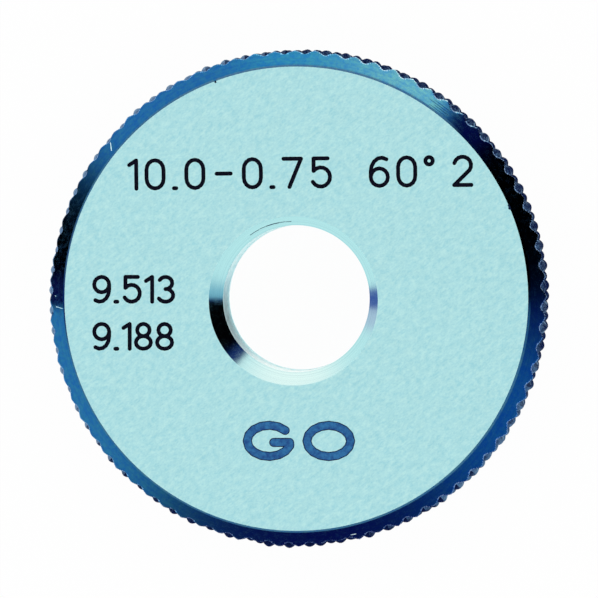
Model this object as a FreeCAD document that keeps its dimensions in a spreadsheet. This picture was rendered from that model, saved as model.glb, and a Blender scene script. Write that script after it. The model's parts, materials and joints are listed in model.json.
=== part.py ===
import FreeCAD, Part

import math
import os

import Sketcher

doc = FreeCAD.newDocument("thread_ring_gauge")

# Driving sizes, in millimetres and degrees
SIZES = {
    "outside_diameter": ("31.2", "over the crests of the knurl"),
    "thickness": ("8", "from one ground face to the other"),
    "edge_chamfer": ("1.1", "breadth of the rim chamfer, seen from the face"),
    "edge_chamfer_angle": ("45", "slope of the rim chamfer against the face"),
    "thread_diameter": ("10", "nominal diameter of the gauging thread"),
    "thread_pitch": ("0.75", "fine metric pitch"),
    "countersink_margin": ("0.28", "breadth of a countersink outside the thread's grooves"),
    "countersink_angle": ("120", "included angle of the two countersinks"),
    "knurl_pitch": ("1.29", "from one diamond to the next, along the rim"),
    "knurl_angle": ("30", "lead of the knurl's grooves against the ring's axis"),
    "knurl_depth": ("0.4", "from the crests to the bottom of the grooves"),
}


def make_sheet():
    """The sheet of driving sizes: name, value and what the value measures."""
    sheet = doc.addObject("Spreadsheet::Sheet", "sizes")
    for row, (alias, (value, meaning)) in enumerate(SIZES.items(), start=1):
        sheet.set(f"A{row}", alias)
        sheet.set(f"B{row}", value)
        sheet.set(f"C{row}", meaning)
        sheet.setAlias(f"B{row}", alias)
    doc.recompute()
    return sheet


def origin_plane(body, role):
    """One of a body's own origin planes, found by its role."""
    return next(f for f in body.Origin.OriginFeatures if f.Role == role)


def draw_section(sketch):
    """Half of the ring's section: two faces, two chamfers, two countersinks, the rim and the thread's wall.

    The corners run anticlockwise from the bottom face's inner edge. They are placed roughly, and the
    constraints bring them to size.
    """
    corners = [(5, 0), (14, 0), (16, 2), (16, 6), (14, 8), (5, 8), (4, 7), (4, 1)]
    points = [FreeCAD.Vector(x, y, 0) for x, y in corners]
    lines = [Part.LineSegment(a, b) for a, b in zip(points, points[1:] + points[:1])]
    base, low_chamfer, rim, high_chamfer, top, high_sink, wall, low_sink = sketch.addGeometry(lines)
    middle = sketch.addGeometry(Part.LineSegment(FreeCAD.Vector(4, 4, 0), FreeCAD.Vector(16, 4, 0)), True)

    outline = [base, low_chamfer, rim, high_chamfer, top, high_sink, wall, low_sink]
    for line, following in zip(outline, outline[1:] + outline[:1]):
        sketch.addConstraint(Sketcher.Constraint("Coincident", line, 2, following, 1))
    for level in (base, middle):
        sketch.addConstraint(Sketcher.Constraint("Horizontal", level))
    sketch.addConstraint(Sketcher.Constraint("PointOnObject", base, 1, -1))
    # the middle plane runs from the thread's wall to the rim, and each half mirrors the other in it
    sketch.addConstraint(Sketcher.Constraint("PointOnObject", middle, 1, wall))
    sketch.addConstraint(Sketcher.Constraint("PointOnObject", middle, 2, rim))
    sketch.addConstraint(Sketcher.Constraint("Symmetric", base, 1, top, 2, middle))
    sketch.addConstraint(Sketcher.Constraint("Symmetric", base, 2, top, 1, middle))
    sketch.addConstraint(Sketcher.Constraint("Symmetric", rim, 1, rim, 2, middle))
    sketch.addConstraint(Sketcher.Constraint("Symmetric", wall, 1, wall, 2, middle))

    wall_radius = "sizes.thread_diameter / 2 - 0.625 * cos(30 deg) * sizes.thread_pitch"
    sink_radius = "sizes.thread_diameter / 2 + sizes.countersink_margin"
    chamfer_breadth = "sizes.edge_chamfer + sizes.knurl_depth"
    chamfer_slope = "tan(sizes.edge_chamfer_angle * 1 deg)"
    sink_slope = "tan(sizes.countersink_angle / 2 * 1 deg)"
    named = {
        "thickness": ("DistanceY", base, 2, top, 1, 8, "sizes.thickness"),
        "wall_radius": ("DistanceX", -1, 1, wall, 1, 4, wall_radius),
        "sink_radius": ("DistanceX", -1, 1, base, 1, 5, sink_radius),
        "sink_depth": ("DistanceY", base, 1, wall, 2, 1, f"({sink_radius} - ({wall_radius})) / {sink_slope}"),
        "face_radius": ("DistanceX", -1, 1, base, 2, 15, "sizes.outside_diameter / 2 - sizes.edge_chamfer"),
        # the rim is turned one groove's depth over size, which leaves stock for the knurl
        "rim_radius": ("DistanceX", -1, 1, rim, 1, 16, "sizes.outside_diameter / 2 + sizes.knurl_depth"),
        "chamfer_depth": ("DistanceY", base, 2, rim, 1, 1, f"({chamfer_breadth}) * {chamfer_slope}"),
    }
    for name, (kind, line, end, other, other_end, rough, formula) in named.items():
        index = sketch.addConstraint(Sketcher.Constraint(kind, line, end, other, other_end, rough))
        sketch.renameConstraint(index, name)
        sketch.setExpression(f"Constraints.{name}", formula)


def make_turned_ring():
    """The ring as it leaves the lathe, with its bore at the thread's minor diameter."""
    body = doc.addObject("PartDesign::Body", "turned_ring")
    sketch = body.newObject("Sketcher::SketchObject", "ring_section")
    sketch.AttachmentSupport = [(origin_plane(body, "XZ_Plane"), "")]
    sketch.MapMode = "FlatFace"
    draw_section(sketch)
    turning = body.newObject("PartDesign::Revolution", "turning")
    turning.Profile = sketch
    turning.ReferenceAxis = (sketch, ["V_Axis"])
    turning.Angle = 360
    return body


def knurl_form(sheet):
    """A round bar, taller than the ring, whose side is a full diamond knurl.

    Two crossing sets of V grooves leave a pyramid at each diamond. Grooves cross and crests stand by
    turns, half a pitch apart, on levels half a diamond apart, so the side is a grid of triangles
    folded along the grooves.
    """
    crest_radius = sheet.outside_diameter / 2
    groove_radius = crest_radius - sheet.knurl_depth
    diamonds = round(math.pi * sheet.outside_diameter / sheet.knurl_pitch)
    columns = 2 * diamonds
    half_pitch = math.pi * sheet.outside_diameter / columns
    level_height = half_pitch / math.tan(math.radians(sheet.knurl_angle))
    # the upper chamfer's edge falls midway between two levels, and the levels pass both faces
    chamfer_depth = sheet.edge_chamfer * math.tan(math.radians(sheet.edge_chamfer_angle))
    edge_height = sheet.thickness - chamfer_depth
    lowest = -math.floor(edge_height / level_height + 0.5) - 1
    highest = math.ceil(chamfer_depth / level_height)

    def is_crest(level, column):
        return (level + column) % 2 == 1

    def point(level, column):
        radius = crest_radius if is_crest(level, column) else groove_radius
        angle = 2 * math.pi * column / columns
        height = edge_height + (level + 0.5) * level_height
        return FreeCAD.Vector(radius * math.cos(angle), radius * math.sin(angle), height)

    def flat(*corners):
        return Part.Face(Part.makePolygon([*corners, corners[0]]))

    faces = []
    for level in range(lowest, highest):
        for column in range(columns):
            low_near, low_far = point(level, column), point(level, column + 1)
            high_near, high_far = point(level + 1, column), point(level + 1, column + 1)
            if is_crest(level, column):
                faces += [flat(low_near, low_far, high_near), flat(low_far, high_far, high_near)]
            else:
                faces += [flat(low_near, low_far, high_far), flat(low_near, high_far, high_near)]
    for level in (lowest, highest):
        faces.append(flat(*[point(level, column) for column in range(columns)]))
    return Part.makeSolid(Part.makeShell(faces))


def make_knurl(sheet):
    """The form that the knurling rolls give the rim."""
    knurl = doc.addObject("Part::Feature", "diamond_knurl")
    knurl.Shape = knurl_form(sheet)
    return knurl


def make_gauge_ring(body, knurl):
    """The finished gauge: the turned ring with its rim brought to the knurl."""
    ring = doc.addObject("Part::Common", "gauge_ring")
    ring.Label = "gauge_ring"
    ring.Base = body
    ring.Tool = knurl
    ring.Refine = False
    return ring


def check(objects):
    """Stop if any object failed, or if a finished piece is not one sound solid."""
    for item in doc.Objects:
        if "Invalid" in item.State or "Error" in item.State:
            raise RuntimeError(f"{item.Label} did not recompute: {item.State}")
    for item in objects:
        if item.Shape.isNull() or not item.Shape.isValid() or len(item.Shape.Solids) != 1:
            raise RuntimeError(f"{item.Label} is not one valid solid")


sheet = make_sheet()
turned_ring = make_turned_ring()
doc.recompute()
diamond_knurl = make_knurl(sheet)
gauge_ring = make_gauge_ring(turned_ring, diamond_knurl)
doc.recompute()
check([gauge_ring])

os.makedirs("parts", exist_ok=True)
gauge_ring.Shape.Solids[0].exportStep(f"parts/{gauge_ring.Label}.step")
print(f"{gauge_ring.Label}: {gauge_ring.Shape.Volume:.2f} mm3, {len(gauge_ring.Shape.Faces)} faces")
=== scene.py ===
import json
import math

import bmesh
import bpy
from mathutils import Matrix, Vector, noise


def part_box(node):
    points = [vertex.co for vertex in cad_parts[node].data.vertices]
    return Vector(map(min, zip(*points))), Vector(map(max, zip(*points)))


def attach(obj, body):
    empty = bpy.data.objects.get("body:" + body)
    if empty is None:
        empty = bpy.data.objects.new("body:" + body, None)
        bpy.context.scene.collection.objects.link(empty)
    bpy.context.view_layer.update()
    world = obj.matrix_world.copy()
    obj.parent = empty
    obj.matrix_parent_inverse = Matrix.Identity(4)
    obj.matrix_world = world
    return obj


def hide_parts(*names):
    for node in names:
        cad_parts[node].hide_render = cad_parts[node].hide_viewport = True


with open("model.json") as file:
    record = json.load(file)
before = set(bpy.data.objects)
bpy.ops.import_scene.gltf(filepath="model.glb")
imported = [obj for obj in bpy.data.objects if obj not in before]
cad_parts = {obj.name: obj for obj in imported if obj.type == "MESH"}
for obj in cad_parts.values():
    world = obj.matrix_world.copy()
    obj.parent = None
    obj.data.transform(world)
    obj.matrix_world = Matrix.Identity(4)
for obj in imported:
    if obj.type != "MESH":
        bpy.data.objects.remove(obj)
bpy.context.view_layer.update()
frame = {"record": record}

# The ring's outside: a disc of tool steel with a full diamond knurl rolled into its rim, deep in the
# middle and fading towards the ends of the rolls. A chamfer was turned on each edge after that, and
# the whole outside was blued in the fire.
MM = 0.001
low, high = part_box("gauge_ring")
MIDDLE = (low.z + high.z) / 2
HALF_THICKNESS = (high.z - low.z) / 2
CREST_RADIUS = (high.y - low.y) / 2
CHAMFER = 1.1 * MM
CHAMFER_EDGE = high.z - CHAMFER
FACE_RADIUS = CREST_RADIUS - CHAMFER
EDGE_BREAK = 0.01 * MM
KNURL_PITCH = 1.29 * MM
KNURL_ANGLE = math.radians(30)
DIAMONDS = round(2 * math.pi * CREST_RADIUS / KNURL_PITCH)
HALF_DIAMOND = math.pi * CREST_RADIUS / DIAMONDS / math.tan(KNURL_ANGLE)
# how far the diamonds are shifted round the rim and up it, as a share of a diamond
SHIFTED_AROUND, SHIFTED_UP = 0.4, 0.1
KNURL_DEPTH = 0.5 * MM
KNURL_DEPTH_AT_EDGE = 0.2 * MM
CREST_DROP_AT_EDGE = 0.1 * MM
# from how far below a face on the knurl has its full depth, and up to how far below it its least
FADE_FROM, FADE_TO = 1.38 * MM, 0.92 * MM
# the knurl runs out one way and falls back the other way, by a share of that. Where it runs out,
# its fading is partly made good
KNURL_RUN_OUT = 0.09 * MM
RUN_OUT_BEHIND = 0.4
RUN_OUT_TOWARDS = math.radians(-15)
FADE_MADE_GOOD = 0.6
# shares of a point's height: how much the points vary, and how much is worn off on one stretch
CREST_UNEVENNESS = 0.12
CREST_WEAR = 0.3
WORN_AT, WORN_OVER = math.radians(-88), math.radians(18)


def turned_radius(z):
    """Radius of the chamfer's cone at a height, with its edge to the face just broken."""
    depth = HALF_THICKNESS - abs(z - MIDDLE)
    if depth < EDGE_BREAK:
        return FACE_RADIUS - EDGE_BREAK + 2 * depth
    return FACE_RADIUS + depth


def rolled_radius(angle, z):
    """Radius of the knurl: two crossing sets of grooves, which leave a rounded point on each diamond."""
    around = angle * DIAMONDS / (2 * math.pi) + SHIFTED_AROUND
    up = (z - CHAMFER_EDGE) / (2 * HALF_DIAMOND) - SHIFTED_UP
    grooves = (around + up, around - up)
    from_groove = min(abs(g - round(g)) for g in grooves)
    diamond = Vector([math.floor(g) % DIAMONDS for g in grooves] + [0])
    wear = CREST_WEAR * math.exp(-(((angle - WORN_AT) / WORN_OVER) ** 2))
    whole = 1 - wear - (CREST_UNEVENNESS + wear) * noise.cell(diamond)
    height = math.sin(math.pi * from_groove) * whole
    depth = HALF_THICKNESS - abs(z - MIDDLE)
    full = min(1, max(0, (depth - FADE_TO) / (FADE_FROM - FADE_TO)))
    full *= full * (3 - 2 * full)
    towards = 0.5 + 0.5 * math.cos(angle - RUN_OUT_TOWARDS)
    full += (1 - full) * FADE_MADE_GOOD * towards
    crest = CREST_RADIUS - CREST_DROP_AT_EDGE * (1 - full)
    groove_depth = KNURL_DEPTH_AT_EDGE + (KNURL_DEPTH - KNURL_DEPTH_AT_EDGE) * full
    run_out = KNURL_RUN_OUT * ((1 + RUN_OUT_BEHIND) * towards - RUN_OUT_BEHIND) * full
    return crest + run_out - groove_depth * (1 - height)


def reach(vert):
    """Distance of a vertex from the ring's axis."""
    return math.hypot(vert.co.x, vert.co.y)


def set_reach(vert, radius):
    """Move a vertex straight out from the ring's axis, or in towards it."""
    scale = radius / reach(vert)
    vert.co.x *= scale
    vert.co.y *= scale


def roll_up(form, columns, rows, rise=0):
    """A grid closed to a tube, one unit in radius and one a row in height, climbing by a rise a turn."""
    bmesh.ops.create_grid(form, x_segments=columns, y_segments=rows - 1, size=0.5)
    for vert in form.verts:
        column = round((vert.co.x + 0.5) * columns)
        row = round((vert.co.y + 0.5) * (rows - 1))
        angle = 2 * math.pi * column / columns
        vert.co = math.cos(angle), math.sin(angle), row + rise * column / columns
    bmesh.ops.remove_doubles(form, verts=form.verts, dist=0.001)


# how far the mesh's rows lie below a face, in mm: few down the chamfer, then close where it meets the
# knurl. From there on the knurl has a few rows of cells to each half diamond
EDGE_DEPTHS = [0, 0.01, 0.2, 0.4, 0.6] + [0.72 + 0.035 * row for row in range(20)]
CELLS_PER_HALF = 5
edge_rows = [MM * depth for depth in EDGE_DEPTHS]
knurl_row = HALF_DIAMOND / CELLS_PER_HALF
rows_down = math.ceil((CHAMFER_EDGE - low.z) / knurl_row)
heights = [low.z + depth for depth in edge_rows]
lowest, highest = heights[-1] + knurl_row / 3, high.z - edge_rows[-1] - knurl_row / 3
knurl_rows = [CHAMFER_EDGE + row * knurl_row for row in range(-rows_down, 1)]
heights += [z for z in knurl_rows if lowest < z < highest]
heights += [high.z - depth for depth in reversed(edge_rows)]

# the ring's finishes, in the order of its material slots
CHAMFERED, KNURLED, FACE, SINK, THREAD, INK, MARK, MARK_EDGE, BARE = range(9)
# how near two places are that count as one
AS_ONE = 0.001 * MM

ring = bmesh.new()
roll_up(ring, 2 * DIAMONDS * CELLS_PER_HALF, len(heights))
for vert in ring.verts:
    angle = math.atan2(vert.co.y, vert.co.x)
    vert.co.z = heights[round(vert.co.z)]
    set_reach(vert, min(turned_radius(vert.co.z), rolled_radius(angle, vert.co.z)))
for face in ring.faces:
    turned = all(reach(v) > turned_radius(v.co.z) - AS_ONE for v in face.verts)
    face.material_index = CHAMFERED if turned else KNURLED

# each cell is folded along its lower diagonal, so that the grooves' bottoms run straight
folds = {"FIXED": [], "ALTERNATE": []}
for face in ring.faces:
    a, b, c, d = [reach(v) for v in face.verts]
    folds["FIXED" if a + c < b + d else "ALTERNATE"].append(face)
for method, faces in folds.items():
    bmesh.ops.triangulate(ring, faces=faces, quad_method=method)


def linear(hex_colour):
    """The linear colour that an sRGB hex value stands for."""
    channels = [int(hex_colour[i:i + 2], 16) / 255 for i in (1, 3, 5)]
    return [c / 12.92 if c <= 0.04045 else ((c + 0.055) / 1.055) ** 2.4 for c in channels] + [1]


def add_node(tree, kind, settings={}, links={}):
    """Add a node, set its own settings or its sockets' values, and link its sockets."""
    node = tree.nodes.new(kind)
    for name, value in settings.items():
        if isinstance(name, str) and hasattr(node, name):
            setattr(node, name, value)
        else:
            node.inputs[name].default_value = value
    for name, source in links.items():
        tree.links.new(source, node.inputs[name])
    return node


def start_material(name, sockets):
    """A material whose shader has these values, for its section to add the patterns to."""
    material = bpy.data.materials.new(name)
    material.use_nodes = True
    shader = material.node_tree.nodes["Principled BSDF"]
    for socket, value in sockets.items():
        shader.inputs[socket].default_value = value
    return material


def blend_between(material, socket, share, low_value, high_value):
    """Blend a shader socket between two values by a share. A value of None is what it held before."""
    tree = material.node_tree
    target = tree.nodes["Principled BSDF"].inputs[socket]
    coloured = target.type == "RGBA"
    blend = add_node(tree, "ShaderNodeMix", {"data_type": "RGBA" if coloured else "FLOAT"}, {0: share})
    for slot, value in zip((6, 7) if coloured else (2, 3), (low_value, high_value)):
        if value is not None:
            blend.inputs[slot].default_value = linear(value) if coloured else value
        elif target.is_linked:
            tree.links.new(target.links[0].from_socket, blend.inputs[slot])
        else:
            blend.inputs[slot].default_value = target.default_value
    tree.links.new(blend.outputs[2 if coloured else 0], target)


def wander(
    material, socket, size, low_value, high_value, turn=0, stretch=1, contrast=4, detail=2, fine=0.6,
):
    """Let a colour or a number of a material's shader wander in patches of a given size.

    The patches can be turned by an angle in degrees and stretched along it. A higher contrast parts
    them more sharply, and detail and fine say how much small grain they have.
    """
    tree = material.node_tree
    place = add_node(tree, "ShaderNodeTexCoord")
    turned = add_node(
        tree, "ShaderNodeMapping",
        {"vector_type": "TEXTURE", "Rotation": (0, 0, math.radians(turn)), "Scale": (stretch, 1, 1)},
        {"Vector": place.outputs["Object"]},
    )
    patches = add_node(
        tree, "ShaderNodeTexNoise", {"Scale": 1 / size, "Detail": detail, "Roughness": fine},
        {"Vector": turned.outputs[0]},
    )
    share = add_node(
        tree, "ShaderNodeMapRange", {"From Min": 0.5 - 0.5 / contrast, "From Max": 0.5 + 0.5 / contrast},
        {"Value": patches.outputs["Fac"]},
    )
    blend_between(material, socket, share.outputs[0], low_value, high_value)


def from_axis(tree):
    """The distance from the ring's axis, as an output of a node."""
    place = add_node(tree, "ShaderNodeTexCoord")
    flat = add_node(
        tree, "ShaderNodeVectorMath", {"operation": "MULTIPLY", 1: (1, 1, 0)},
        {0: place.outputs["Object"]},
    )
    length = add_node(tree, "ShaderNodeVectorMath", {"operation": "LENGTH"}, {0: flat.outputs[0]})
    return length.outputs["Value"]


def tool_lines(material, spacing, height, share, colour):
    """The fine rings that a turning tool leaves, as a bump and as a change of colour by a share."""
    tree = material.node_tree
    lines = add_node(
        tree, "ShaderNodeTexNoise",
        {"noise_dimensions": "1D", "Scale": 1 / spacing, "Detail": 3, "Roughness": 0.7},
        {"W": from_axis(tree)},
    )
    bump = add_node(
        tree, "ShaderNodeBump", {"Strength": 1, "Distance": height}, {"Height": lines.outputs["Fac"]},
    )
    tree.links.new(bump.outputs[0], tree.nodes["Principled BSDF"].inputs["Normal"])
    strength = add_node(
        tree, "ShaderNodeMapRange", {"From Min": 0.45, "From Max": 0.75, "To Max": share},
        {"Value": lines.outputs["Fac"]},
    )
    blend_between(material, "Base Color", strength.outputs[0], None, colour)


# Blued turned steel: a film of oxide on a bright surface. It gives the eye a clear blue that mirrors
# its surroundings, a little patchy, with the rings of the tool's feed of 0.11 mm.
chamfer_steel = start_material("blued_turned_steel", {"Metallic": 1})
wander(chamfer_steel, "Base Color", 0.35 * MM, "#2E6291", "#41738C", detail=3, fine=0.8)
tool_lines(chamfer_steel, 0.11 * MM, 0.0012 * MM, 0.35, "#1B3A66")
wander(chamfer_steel, "Roughness", 0.3 * MM, 0.06, 0.16)

# Blued knurled steel: darker than the chamfers and less even. It is paler on its points, and paler
# towards its two ends.
PALE_POINTS_HEIGHT = 0.2 * MM
# the knurl turns paler from one distance from the middle to another, up to this share of the paler
# colour
PALE_ENDS_FROM, PALE_ENDS_TO = 2.7 * MM, 3.1 * MM
PALE_ENDS_SHARE = 0.7
knurl_steel = start_material("blued_knurled_steel", {"Metallic": 1})
wander(knurl_steel, "Base Color", 0.4 * MM, "#1F4578", "#44769F")
wander(knurl_steel, "Roughness", 0.2 * MM, 0.12, 0.28)
tree = knurl_steel.node_tree
# the points turn paler
pale_points = add_node(
    tree, "ShaderNodeMapRange", {"From Min": CREST_RADIUS - PALE_POINTS_HEIGHT, "From Max": CREST_RADIUS},
    {"Value": from_axis(tree)},
)
blend_between(knurl_steel, "Base Color", pale_points.outputs[0], None, "#8FA6B8")
place = add_node(tree, "ShaderNodeTexCoord")
height = add_node(tree, "ShaderNodeSeparateXYZ", {}, {0: place.outputs["Object"]}).outputs["Z"]
off_middle = add_node(tree, "ShaderNodeMath", {"operation": "SUBTRACT", 1: MIDDLE}, {0: height})
from_middle = add_node(tree, "ShaderNodeMath", {"operation": "ABSOLUTE"}, {0: off_middle.outputs[0]})
# and the knurl turns paler towards its two ends
pale_ends = add_node(
    tree, "ShaderNodeMapRange", {"From Min": PALE_ENDS_FROM, "From Max": PALE_ENDS_TO, "To Max": PALE_ENDS_SHARE},
    {"Value": from_middle.outputs[0]},
)
blend_between(knurl_steel, "Base Color", pale_ends.outputs[0], None, "#A4BEDF")

# The bore: a fine metric thread, ground and lapped, that a screw under test has to pass. A 60 degree
# flank on each side of a flat crest and a flat root follows one helix from face to face. The
# countersink at each mouth was cut by hand afterwards, a little off the thread's axis.
thread_mount = next(m for m in frame["record"]["mounts"] if m["name"] == "thread")
MINOR_RADIUS = thread_mount["dims"]["r_mm"] * MM
ROOT_RADIUS = 5.0 * MM
THREAD_PITCH = 0.75 * MM
SINK_RADIUS = 5.28 * MM
SINK_SLOPE = math.tan(math.radians(60))
SINK_OFFSET = Vector((-0.17, -0.13)) * MM
SINK_TOLERANCE = 0.004 * MM
BORE_COLUMNS = 160
# how far below a face the thread starts, and over what height it grows to its full depth
THREAD_STARTS = 0.55 * MM
THREAD_FADES_IN = 0.5 * MM
# where each row of the profile lies in one pitch, and how far it is from the crest to the root
THREAD_ROWS = (
    (-1 / 8, 0), (0, 0), (1 / 8, 0), (0.229, 1 / 3), (0.333, 2 / 3),
    (0.4375, 1), (0.5625, 1), (0.667, 2 / 3), (0.771, 1 / 3),
)


def sink_radius(vert):
    """Radius of the nearer countersink's cone at a vertex."""
    depth = HALF_THICKNESS - abs(vert.co.z - MIDDLE)
    towards = vert.co.xy.normalized()
    return SINK_RADIUS + SINK_OFFSET.dot(towards) - depth * SINK_SLOPE


def slice_bore(level, normal, clear_past):
    """Slice the bore's wall by a plane, and clear what lies past the plane if that is asked."""
    bmesh.ops.bisect_plane(
        bore, geom=bore.verts[:] + bore.edges[:] + bore.faces[:], dist=0.1 * AS_ONE,
        plane_co=(0, 0, level), plane_no=normal, clear_outer=clear_past,
    )


# the helix starts one turn below the lower face and ends past the upper one
bore = bmesh.new()
turns = math.ceil(2 * HALF_THICKNESS / THREAD_PITCH) + 2
roll_up(bore, BORE_COLUMNS, turns * len(THREAD_ROWS), rise=len(THREAD_ROWS))
for vert in bore.verts:
    turn = math.atan2(vert.co.y, vert.co.x) / (2 * math.pi) % 1
    row = round(vert.co.z - len(THREAD_ROWS) * turn) - len(THREAD_ROWS)
    along, out = THREAD_ROWS[row % len(THREAD_ROWS)]
    vert.co.z = low.z + (row // len(THREAD_ROWS) + along + turn) * THREAD_PITCH
    depth = HALF_THICKNESS - abs(vert.co.z - MIDDLE)
    out *= min(1, max(0, (depth - THREAD_STARTS) / THREAD_FADES_IN))
    set_reach(vert, MINOR_RADIUS + out * (ROOT_RADIUS - MINOR_RADIUS))
slice_bore(low.z, (0, 0, -1), True)
slice_bore(high.z, (0, 0, 1), True)
# each countersink ends on the bore's wall along a tilted circle, because it is off the axis
sink_foot = (SINK_RADIUS - MINOR_RADIUS) / SINK_SLOPE
tilt = SINK_OFFSET / (MINOR_RADIUS * SINK_SLOPE)
slice_bore(low.z + sink_foot, (-tilt.x, -tilt.y, 1), False)
slice_bore(high.z - sink_foot, (tilt.x, tilt.y, 1), False)
for vert in bore.verts:
    set_reach(vert, max(reach(vert), sink_radius(vert)))
for face in bore.faces:
    cut = all(reach(v) < sink_radius(v) + SINK_TOLERANCE for v in face.verts)
    face.material_index = SINK if cut else THREAD
bore_mesh = bpy.data.meshes.new("bore")
bore.to_mesh(bore_mesh)
bore.free()
ring.from_mesh(bore_mesh)
bpy.data.meshes.remove(bore_mesh)

# Turned steel, left bright: it gives the eye an almost sharp mirror with fine rings, 0.09 mm apart.
sink_steel = start_material("turned_countersink_steel", {"Metallic": 1, "Base Color": linear("#B2E6E8")})
tool_lines(sink_steel, 0.09 * MM, 0.0015 * MM, 0.25, "#7FB2C4")
wander(sink_steel, "Roughness", 0.3 * MM, 0.07, 0.13)

# Lapped steel: the lap's fine scratches give the eye an even, silky sheen, the palest on the gauge.
thread_steel = start_material("lapped_thread_steel", {"Metallic": 1, "Roughness": 0.35})
wander(thread_steel, "Base Color", 0.3 * MM, "#CCF4F8", "#E2FFFF")

# The two faces: ground flat and parallel on a surface grinder, from the countersink's mouth out to the
# chamfer. They are the gauge's rest and its reading side, and were left unblued.
for level in (low.z, high.z):
    at_level = [e for e in ring.edges if e.is_boundary and abs(e.verts[0].co.z - level) < AS_ONE]
    filled = bmesh.ops.triangle_fill(ring, edges=at_level, use_beauty=True, normal=(0, 0, 1))
    for face in filled["geom"]:
        if isinstance(face, bmesh.types.BMFace):
            face.material_index = FACE
bmesh.ops.recalc_face_normals(ring, faces=ring.faces)

# Surface ground steel: a pale satin surface, with a faint grain that the wheel left one way. The real
# grain is about 0.1 mm wide. It is drawn three times as coarse, so that it shows.
GRAIN_HEADING = 38
face_steel = start_material("surface_ground_steel", {"Metallic": 1})
wander(
    face_steel, "Base Color", 0.32 * MM, "#A4DBE2", "#BDEAEA",
    turn=GRAIN_HEADING, stretch=1.7, contrast=3, fine=1,
)
wander(face_steel, "Roughness", 0.3 * MM, 0.4, 0.5, turn=GRAIN_HEADING, stretch=2.5)

# The markings: plain numbers for the thread, cut by an engraving machine with a tapered cutter and
# filled with black, and a broad shallow word that was etched and left steel blue.
# Each cutter has a radius at its top and at its foot, a depth, and its wall's and its floor's finish.
ENGRAVED = (0.135 * MM, 0.09 * MM, 0.1 * MM, INK, INK)
ETCHED = (0.3 * MM, 0.225 * MM, 0.05 * MM, MARK_EDGE, MARK)
# each line's text, left end, baseline and cap height in mm, gap in cap heights, slope and cutter
LINES = (
    ("10.0", -10.42, 6.87, 1.76, 0.365, 0.0112, ENGRAVED),
    ("-", -4.95, 6.93, 1.76, 0.365, 0.0112, ENGRAVED),
    ("0.75", -3.25, 6.95, 1.76, 0.365, 0.0112, ENGRAVED),
    ("60°", 4.68, 7.04, 1.76, 0.365, 0.0112, ENGRAVED),
    ("2", 9.88, 7.1, 1.76, 0.365, 0.0112, ENGRAVED),
    ("9.513", -12.63, -0.19, 1.55, 0.25, 0, ENGRAVED),
    ("9.188", -12.63, -3.13, 1.55, 0.25, 0, ENGRAVED),
    ("GO", -3.05, -9.85, 1.95, 0.55, 0, ETCHED),
)
ARC_STEP = 22.5
DIGIT_WIDTH = 0.606
CUTTER_SIDES = 16
# how far a stroke's form stands above the surface, as a share of its depth
STANDS_ABOVE = 0.2
# the upright part of a normal from which a face counts as looking down
LOOKS_DOWN = -0.99


def arc(x, y, across, up, start, end):
    """Points on an oval, in cap heights, from one angle to another, both in degrees."""
    steps = max(2, round(abs(end - start) / ARC_STEP))
    angles = [math.radians(start + (end - start) * step / steps) for step in range(steps + 1)]
    return [(x + across * math.cos(a), y + up * math.sin(a)) for a in angles]


zero = arc(0.303, 0.66, 0.303, 0.34, 0, 180) + arc(0.303, 0.34, 0.303, 0.34, 180, 360)
zero.append((DIGIT_WIDTH, 0.66))
six = arc(0.38, 0.5, 0.38, 0.5, 62, 180) + arc(0.303, 0.31, 0.303, 0.31, 180, 540)
nine = [(DIGIT_WIDTH - x, 1 - y) for x, y in six]
# the path of the cutter through each sign, one list of points for each time that it is lowered
SIGNS = {
    "0": [zero],
    "1": [[(0, 0.84), (0.25, 1), (0.25, 0)]],
    "2": [arc(0.303, 0.7, 0.3, 0.3, 165, -35) + [(0, 0), (DIGIT_WIDTH, 0)]],
    "3": [arc(0.29, 0.755, 0.27, 0.245, 150, -90) + arc(0.29, 0.26, 0.31, 0.26, 75, -150)],
    "5": [[(0.58, 1), (0.08, 1)] + arc(0.33, 0.34, 0.33, 0.34, 140, -150)],
    "6": [six],
    "7": [[(0, 1), (0.62, 1), (0.2, 0)]],
    "8": [arc(0.303, 0.755, 0.25, 0.245, 0, 360), arc(0.303, 0.255, 0.303, 0.255, 0, 360)],
    "9": [nine],
    ".": [[(0, 0), (0.08, 0)]],
    "-": [[(0, 0.5), (0.5, 0.5)]],
    "°": [arc(0.13, 0.87, 0.13, 0.13, 0, 360)],
    "G": [arc(0.7, 0.5, 0.7, 0.5, 42, 342) + [(1.36, 0.45), (0.85, 0.45)]],
    "O": [arc(0.7, 0.5, 0.7, 0.5, 0, 360)],
}


def combine(target, tool_form, how):
    """Unite an object's mesh with another form, or cut it by that form."""
    tool_mesh = bpy.data.meshes.new("tool")
    tool_form.to_mesh(tool_mesh)
    tool_object = bpy.data.objects.new("tool", tool_mesh)
    change = target.modifiers.new("change", "BOOLEAN")
    change.operation = how
    change.solver = "MANIFOLD"
    change.object = tool_object
    graph = bpy.context.evaluated_depsgraph_get()
    result = bpy.data.meshes.new_from_object(target.evaluated_get(graph))
    target.modifiers.clear()
    old, target.data = target.data, result
    bpy.data.meshes.remove(old)
    bpy.data.meshes.remove(tool_mesh)


def unite(strokes):
    """One mesh of many overlapping strokes, without walls inside."""
    whole = bpy.data.objects.new("strokes", bpy.data.meshes.new("strokes"))
    bpy.context.scene.collection.objects.link(whole)
    for stroke in strokes:
        if whole.data.polygons:
            combine(whole, stroke, "UNION")
        else:
            stroke.to_mesh(whole.data)
        stroke.free()
    mesh = whole.data
    bpy.data.objects.remove(whole)
    return mesh


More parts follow.
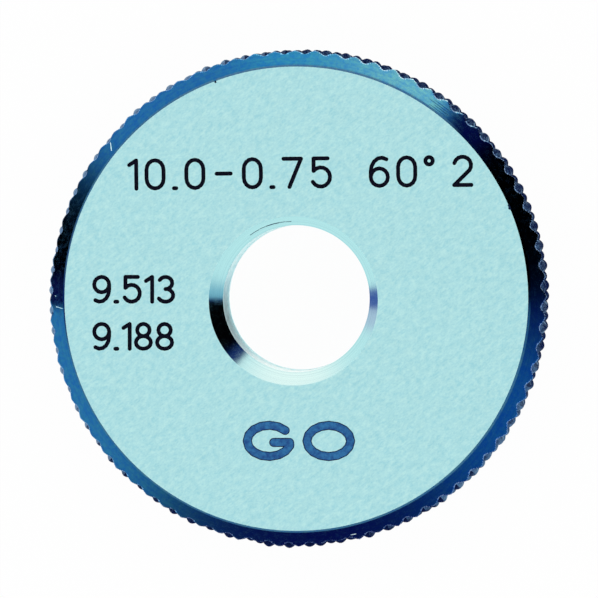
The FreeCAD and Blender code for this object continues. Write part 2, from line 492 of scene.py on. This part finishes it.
def cut_stroke(start, end, cutter, unit):
    """What a cutter takes out on its way between two points of a surface, given in a unit of length."""
    top, foot, depth, wall, floor = cutter
    lift = STANDS_ABOVE * depth
    stroke = bmesh.new()
    for x, y in (start, end):
        place = Matrix.Translation((x * unit, y * unit, (lift - depth) / 2))
        bmesh.ops.create_cone(
            stroke, cap_ends=True, segments=CUTTER_SIDES, radius1=foot, radius2=top,
            depth=depth + lift, matrix=place,
        )
    # the stroke is the hull of the corners of the cutter's two places
    bmesh.ops.delete(stroke, geom=stroke.edges[:], context="EDGES_FACES")
    bmesh.ops.convex_hull(stroke, input=stroke.verts)
    bmesh.ops.delete(stroke, geom=[v for v in stroke.verts if not v.link_faces], context="VERTS")
    for face in stroke.faces:
        face.material_index = floor if face.normal.z < LOOKS_DOWN else wall
    return stroke


marking = bmesh.new()
for text, left, baseline, cap, gap, slope, cutter in LINES:
    x = 0
    for sign in text:
        paths = SIGNS[sign]
        moves = [move for path in paths for move in zip(path, path[1:])]
        mesh = unite([cut_stroke(start, end, cutter, cap * MM) for start, end in moves])
        place = Vector((left + x, baseline + x * slope, 0)) * MM + Vector((0, 0, high.z))
        mesh.transform(Matrix.Translation(place) @ Matrix.Rotation(slope, 4, "Z"))
        marking.from_mesh(mesh)
        bpy.data.meshes.remove(mesh)
        x += cap * (max(px for path in paths for px, py in path) + gap)

# Black engraving fill: a hard wax, rubbed in and wiped off. It gives the eye a flat blue-black with
# hardly a gleam.
ink = start_material("black_engraving_fill", {"Roughness": 0.8, "Specular IOR Level": 0.06})
wander(ink, "Base Color", 0.12 * MM, "#030414", "#0E1024")

# Etched steel under a thick blue film: a dull rough surface. It gives the eye a mottled blue, with a
# dark line along the slope at its edge.
mark = start_material("blue_etched_steel", {"Roughness": 0.6, "Specular IOR Level": 0.1})
wander(mark, "Base Color", 0.4 * MM, "#1C4A86", "#2F71A6", detail=3, fine=0.8)
mark_edge = start_material("blue_etched_edge", {"Roughness": 0.6, "Specular IOR Level": 0.1})
wander(mark_edge, "Base Color", 0.15 * MM, "#0A1C3C", "#18335C")

# The wear that the photo shows: nicks in the face's edge, bare scratches and a few deeper turned rings
# on the chamfer, and a fine dark burr line in the countersink.
NICK = (0.07 * MM, 0.03 * MM, 0.08 * MM, MARK_EDGE, MARK_EDGE)
SCRATCH = (0.035 * MM, 0.015 * MM, 0.02 * MM, BARE, BARE)
BURR = (0.032 * MM, 0.015 * MM, 0.015 * MM, MARK_EDGE, MARK_EDGE)
FINE = (0.022 * MM, 0.01 * MM, 0.012 * MM, MARK_EDGE, MARK_EDGE)
# how steeply each surface slopes down away from the axis, in degrees
ON_FACE, ON_CHAMFER, IN_SINK = 0, 45, -30
# each one's place round the ring in degrees, its distance from the axis and its length in mm, its
# heading in degrees from straight outwards, and the surface that it lies on
WEAR = (
    (110.4, 14.46, 0.06, 0, ON_FACE, NICK),
    (23.3, 14.51, 0.26, 90, ON_FACE, NICK),
    (23, 14.46, 0.04, 90, ON_FACE, NICK),
    (140.7, 15.0, 0.62, -30, ON_CHAMFER, SCRATCH),
    (283.6, 15.16, 0.3, 85, ON_CHAMFER, SCRATCH),
    (182.2, 14.85, 0.6, -12, ON_CHAMFER, SCRATCH),
    (179.4, 15.1, 0.05, 0, ON_CHAMFER, SCRATCH),
    (53.2, 14.72, 1.2, 90, ON_CHAMFER, FINE),
    (52.4, 14.86, 1.1, 90, ON_CHAMFER, FINE),
    (53.6, 14.98, 1.4, 90, ON_CHAMFER, FINE),
    (52.8, 15.12, 1.2, 90, ON_CHAMFER, FINE),
    (94.5, 4.84, 0.5, 90, IN_SINK, FINE),
    (99, 4.86, 0.6, 90, IN_SINK, FINE),
    (104, 4.87, 0.6, 89, IN_SINK, BURR),
    (109, 4.885, 0.6, 89, IN_SINK, BURR),
    (114, 4.9, 0.6, 90, IN_SINK, FINE),
    (119, 4.9, 0.6, 90, IN_SINK, FINE),
    (123, 4.9, 0.5, 91, IN_SINK, FINE),
)
dents = []
for place, radius, length, heading, slope, cutter in WEAR:
    dent = cut_stroke((-length / 2, 0), (length / 2, 0), cutter, MM)
    towards = Vector((math.cos(math.radians(place)), math.sin(math.radians(place))))
    drop = max(0, radius * MM - FACE_RADIUS)
    if slope == IN_SINK:
        drop = (SINK_RADIUS + SINK_OFFSET.dot(towards) - radius * MM) / SINK_SLOPE
    spot = Matrix.Translation((radius * MM, 0, high.z - drop))
    lie = Matrix.Rotation(math.radians(slope), 4, "Y") @ Matrix.Rotation(math.radians(heading), 4, "Z")
    dent.transform(Matrix.Rotation(math.radians(place), 4, "Z") @ spot @ lie)
    dents.append(dent)
worn_away = unite(dents)
marking.from_mesh(worn_away)
bpy.data.meshes.remove(worn_away)

# Bare steel: freshly scratched through the blue. It gives the eye a pale glint.
bare_steel = start_material("bare_steel", {"Metallic": 1, "Roughness": 0.35})
wander(bare_steel, "Base Color", 0.1 * MM, "#C4E2E8", "#E6F6F8")

# The finished gauge: one piece of steel, with the markings and the wear cut into it last. It lies
# loose on its lower face.
SHARP_FROM = math.radians(25)
ring_mesh = bpy.data.meshes.new("gauge_ring_finished")
ring.to_mesh(ring_mesh)
ring.free()
for material in (
    chamfer_steel, knurl_steel, face_steel, sink_steel, thread_steel, ink, mark, mark_edge, bare_steel,
):
    ring_mesh.materials.append(material)
gauge = bpy.data.objects.new("gauge_ring_finished", ring_mesh)
bpy.context.scene.collection.objects.link(gauge)
combine(gauge, marking, "DIFFERENCE")
marking.free()
gauge.data.shade_smooth()
gauge.data.set_sharp_from_angle(angle=SHARP_FROM)
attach(gauge, "root")
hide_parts("gauge_ring")

# The floor: a round white card. It lies a hair above the gauge's lower face, so that the face shows
# whole from below. The camera and the steel see it lit white, and its own white keeps the shadow.
FLOOR_RADIUS = 60 * MM
FLOOR_LEVEL = low.z + 0.01 * MM
FLOOR_SIDES = 96
LIT_SHARE = 0.97


def add_stage(name, form, material, seen_by_all=True):
    """A piece of the studio. One that isn't seen by all is there for the steel to mirror."""
    mesh = bpy.data.meshes.new(name)
    form.to_mesh(mesh)
    form.free()
    mesh.materials.append(material)
    piece = bpy.data.objects.new(name, mesh)
    bpy.context.scene.collection.objects.link(piece)
    piece.visible_camera = piece.visible_shadow = piece.visible_diffuse = seen_by_all


floor_paint = bpy.data.materials.new("white_card")
floor_paint.use_nodes = True
tree = floor_paint.node_tree
tree.nodes.clear()
path = add_node(tree, "ShaderNodeLightPath")
straight_or_mirrored = add_node(
    tree, "ShaderNodeMath", {"operation": "MAXIMUM"},
    {0: path.outputs["Is Camera Ray"], 1: path.outputs["Is Glossy Ray"]},
)
seen = add_node(
    tree, "ShaderNodeMath", {"operation": "MAXIMUM"},
    {0: straight_or_mirrored.outputs[0], 1: path.outputs["Is Transmission Ray"]},
)
lit = add_node(tree, "ShaderNodeMath", {"operation": "MULTIPLY", 1: LIT_SHARE}, {0: seen.outputs[0]})
matt = add_node(tree, "ShaderNodeBsdfDiffuse", {"Color": (0.9, 0.9, 0.9, 1)})
white = add_node(tree, "ShaderNodeEmission", {"Color": (1, 1, 1, 1), "Strength": 1.0})
mixed = add_node(
    tree, "ShaderNodeMixShader", {}, {"Fac": lit.outputs[0], 1: matt.outputs[0], 2: white.outputs[0]},
)
add_node(tree, "ShaderNodeOutputMaterial", {}, {"Surface": mixed.outputs[0]})

floor_form = bmesh.new()
bmesh.ops.create_circle(
    floor_form, cap_ends=True, segments=FLOOR_SIDES, radius=FLOOR_RADIUS,
    matrix=Matrix.Translation((0, 0, FLOOR_LEVEL)),
)
add_stage("floor", floor_form, floor_paint)

# The cards: a wall of coloured and black cards that hangs round the gauge in two rows. The chamfer
# mirrors the low row and the countersink the high one, which gives them their bright and dark parts.
CARD_DISTANCE = 200 * MM
CARDS_FOOT, CARDS_MEET, CARDS_TOP = -60 * MM, 30 * MM, 250 * MM
CARD_COLUMNS = 720
# degrees anticlockwise from the right where each card starts and ends, each with the breadth of that
# edge's fading, and the card's glow; a later card hangs before the earlier ones
LOW_CARDS = (
    (240, 8, 358, 7, (0.03, 0.02, 0.2)),
    (307, 30, 347, 18, (0.1, 0.45, 0.97)),
    (176, 3, 190, 1, (0.05, 0.03, 0.17)),
    (183, 1, 234.5, 27, (0.445, 1.07, 1.38)),
    (41, 5, 60, 4, (0.03, 0.02, 0.17)),
    (52, 4, 149.5, 13, (0.42, 0.97, 1.38)),
    (55, 4, 104, 14, (0.62, 1.72, 1.78)),
    (55, 4, 77, 22, (3.37, 3.18, 2.16)),
)
HIGH_CARDS = (
    (60, 30, 125, 30, (1.65, 1.2, 1.13)),
    (162, 9, 186, 6, (0.8, 0.66, 0.82)),
    (176, 4, 189.5, 5, (0.1, 0.13, 0.42)),
    (-14, 12, 20, 6, (0.32, 0.52, 0.66)),
    (-3, 3, 50, 4, (0.01, 0.03, 0.15)),
    (-1, 2, 40, 5, (0, 0, 0)),
)
BLACK, WHITE = (0, 0, 0), (1, 1, 1)

card_paint = bpy.data.materials.new("lit_card")
card_paint.use_nodes = True
tree = card_paint.node_tree
tree.nodes.clear()
glow_of = add_node(tree, "ShaderNodeAttribute", {"attribute_name": "glow"})
glow = add_node(tree, "ShaderNodeEmission", {}, {"Color": glow_of.outputs["Color"]})
add_node(tree, "ShaderNodeOutputMaterial", {}, {"Surface": glow.outputs[0]})


def soft_step(past_edge, fade):
    """How much of a card is there at so many degrees past its edge, which fades over a breadth."""
    return 0.5 + 0.5 * math.tanh(2 * past_edge / fade)


def glow_at(azimuth, cards, behind):
    """The light that comes from an azimuth, where each card covers what hangs behind it."""
    glow = Vector(behind)
    for start, start_fade, end, end_fade, colour in cards:
        off = (azimuth - (start + end) / 2 + 180) % 360 - 180
        half = (end - start) / 2
        share = soft_step(off + half, start_fade) * soft_step(half - off, end_fade)
        glow = glow.lerp(Vector(colour), share)
    return glow


def azimuth_of(point):
    """Degrees anticlockwise from the right to a point."""
    return math.degrees(math.atan2(point.y, point.x))


def hang_cards(name, cards, behind, foot, top):
    """One row of cards, bent round the gauge."""
    form = bmesh.new()
    roll_up(form, CARD_COLUMNS, 2)
    layer = form.loops.layers.float_color.new("glow")
    for face in form.faces:
        glow = glow_at(azimuth_of(face.calc_center_median()), cards, behind)
        for loop in face.loops:
            loop[layer] = (*glow, 1)
    for vert in form.verts:
        vert.co = CARD_DISTANCE * vert.co.x, CARD_DISTANCE * vert.co.y, top if vert.co.z else foot
    add_stage(name, form, card_paint, seen_by_all=False)


hang_cards("low_cards", LOW_CARDS, BLACK, CARDS_FOOT, CARDS_MEET)
hang_cards("high_cards", HIGH_CARDS, WHITE, CARDS_MEET, CARDS_TOP)

# The shadow sheet: a ring on the floor round the gauge, seen only in the steel's reflections. The
# knurl's steep sides mirror it. It glows dark near the gauge, a painted shadow where the gauge shades
# the floor, and bright further out like the lit floor, except where patches of painted light and shade
# cover it.
# patches of painted light on the painted shadow near the gauge, and of painted shade on the bright floor
# further out
PAINTED_LIGHT_PATCHES = ((105, 12, 215, 12, (0.5, 0.65, 0.8)), (308, 10, 336, 12, (0.2, 0.33, 0.5)))
PAINTED_SHADE_PATCHES = ((232, 20, 305, 20, (0.03, 0.04, 0.2)),)
# the painted shadow near the gauge, and the lit floor further out, both seen only in reflections
PAINTED_SHADOW_GLOW, LIT_FLOOR_GLOW = (0.01, 0.02, 0.1), (0.75, 0.9, 1)
# each row of the shadow sheet's mesh: its radius in mm, its patches, and its glow behind them
SHADOW_SHEET_ROWS = (
    (15.9, PAINTED_LIGHT_PATCHES, PAINTED_SHADOW_GLOW),
    (20.7, PAINTED_LIGHT_PATCHES, PAINTED_SHADOW_GLOW),
    (21.7, PAINTED_SHADE_PATCHES, LIT_FLOOR_GLOW),
    (45, PAINTED_SHADE_PATCHES, LIT_FLOOR_GLOW),
)
SHADOW_SHEET_LEVEL = 0.05 * MM
shadow_sheet_form = bmesh.new()
roll_up(shadow_sheet_form, FLOOR_SIDES, len(SHADOW_SHEET_ROWS))
layer = shadow_sheet_form.loops.layers.float_color.new("glow")
for face in shadow_sheet_form.faces:
    for loop in face.loops:
        patches, behind = SHADOW_SHEET_ROWS[round(loop.vert.co.z)][1:]
        loop[layer] = (*glow_at(azimuth_of(loop.vert.co), patches, behind), 1)
for vert in shadow_sheet_form.verts:
    radius = SHADOW_SHEET_ROWS[round(vert.co.z)][0] * MM
    vert.co = radius * vert.co.x, radius * vert.co.y, SHADOW_SHEET_LEVEL
bmesh.ops.reverse_faces(shadow_sheet_form, faces=shadow_sheet_form.faces)
# the painted shadow sheet, which only the steel's reflections see
add_stage("painted_shadow_sheet", shadow_sheet_form, card_paint, seen_by_all=False)

# The studio's walls and ceiling: white paper out of the picture, which lights the gauge softly from
# all round. They have no form of their own, only their light.
world = bpy.data.worlds.new("studio")
bpy.context.scene.world = world
world.use_nodes = True
world.node_tree.nodes["Background"].inputs["Color"].default_value = (1, 1, 1, 1)
world.node_tree.nodes["Background"].inputs["Strength"].default_value = 1.0

# The camera: a long lens, almost straight above the marked face. It leans three degrees to the right
# of the marking and one to its top, as the strip of the bore's wall in the photo tells.
LEAN = Vector((0.05, 0.0155, 1))
CAMERA_DISTANCE = 0.45
aim = Vector((0.19, -0.012, 8)) * MM
cam = bpy.data.objects.new("camera", bpy.data.cameras.new("camera"))
bpy.context.scene.collection.objects.link(cam)
bpy.context.scene.camera = cam
cam.data.sensor_width = 36
cam.data.lens = 434
cam.data.clip_end = 10
cam.location = aim + LEAN.normalized() * CAMERA_DISTANCE
backward = (cam.location - aim).normalized()
right = Vector((0, 1, 0)).cross(backward).normalized()
cam.rotation_euler = Matrix((right, backward.cross(right), backward)).transposed().to_euler()
bpy.context.scene.view_settings.view_transform = "Standard"
